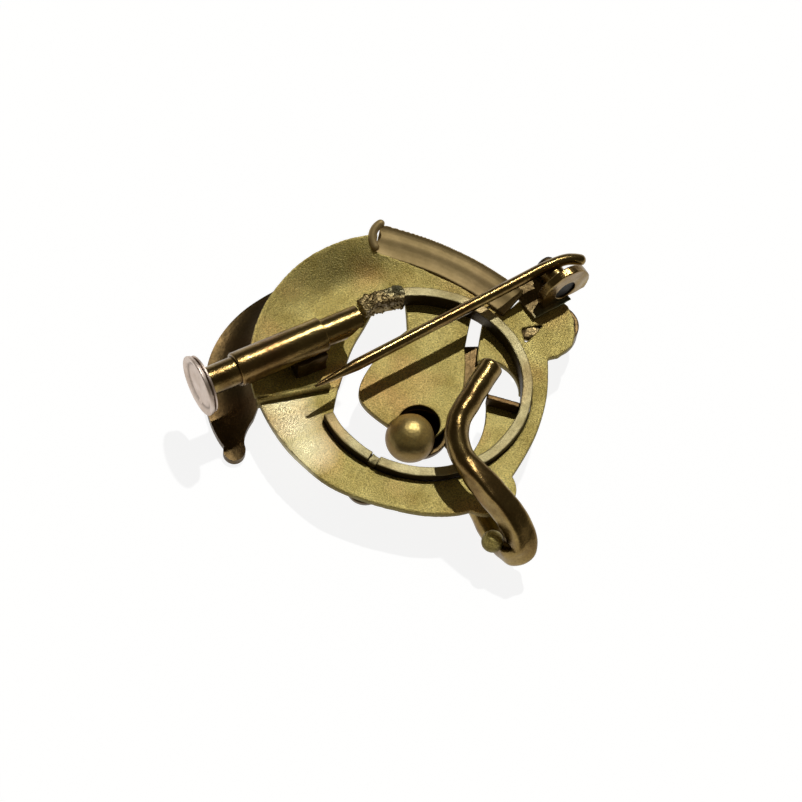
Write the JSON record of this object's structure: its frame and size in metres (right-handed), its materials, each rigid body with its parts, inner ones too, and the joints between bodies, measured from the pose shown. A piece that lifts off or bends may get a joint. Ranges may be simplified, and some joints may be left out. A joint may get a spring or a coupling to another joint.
{
  "type": "flower brooch with watch hook",
  "caption": "Hollow-backed gold flower brooch lying face down: open petal ring, hinged pin, sliding tube catch and a curled watch hook.",
  "frame": {"origin": "middle of the bounding box's underside, where the front rests", "axes": "+Z out of the open back, +X from the catch knob towards the hinge, +Y towards the crest and hinge edge"},
  "size_m": [0.0258, 0.023, 0.0074],
  "materials": {
    "bloomed_gold": "matte bloomed gold, fine grain",
    "smooth_gold": "smooth satin gold",
    "pale_gold": "pale solder-flushed gold",
    "polished_gold": "polished red-brown gold",
    "rose_gold": "polished rose gold",
    "dark_steel": "dark oxidised steel"
  },
  "bodies": {
    "root": {"base_band": "bloomed_gold", "crest_petal": "bloomed_gold", "horn_petal": "smooth_gold", "horn_curl": "smooth_gold", "side_petal": "smooth_gold", "center_leaf": "bloomed_gold", "small_upper_petal": "bloomed_gold", "small_lower_leaf": "bloomed_gold", "leaf_rim": "bloomed_gold", "flower_stem": "smooth_gold", "bud_cup": "bloomed_gold", "berry_center": "smooth_gold", "berry_right": "smooth_gold", "berry_lower": "smooth_gold", "back_ring": "pale_gold", "ring_segment": "pale_gold", "solder_lump": "pale_gold", "solder_bead": "pale_gold", "catch_barrel": "polished_gold", "catch_foot": "polished_gold", "hinge_plate": "polished_gold", "near_ear": "polished_gold", "far_ear": "polished_gold", "hinge_rivet": "dark_steel", "watch_hook": "polished_gold", "hook_bead": "bloomed_gold", "hook_post": "polished_gold"},
    "pin": {"pin_stem": "polished_gold", "pin_knuckle": "polished_gold"},
    "slider": {"slider_tube": "polished_gold", "slider_knob": "rose_gold"}
  },
  "joints": [
    {"name": "pin_hinge", "type": "hinge", "parent": "root", "child": "pin", "pos_m": [0.0102, 0.00983, 0.00448], "axis": [-0.6691, 0.7431, 0], "range_deg": [0, 90]},
    {"name": "catch_slide", "type": "slide", "parent": "root", "child": "slider", "axis": [0.7944, 0.6074, 0], "range_m": [-0.0025, 0.0022]}
  ]
}
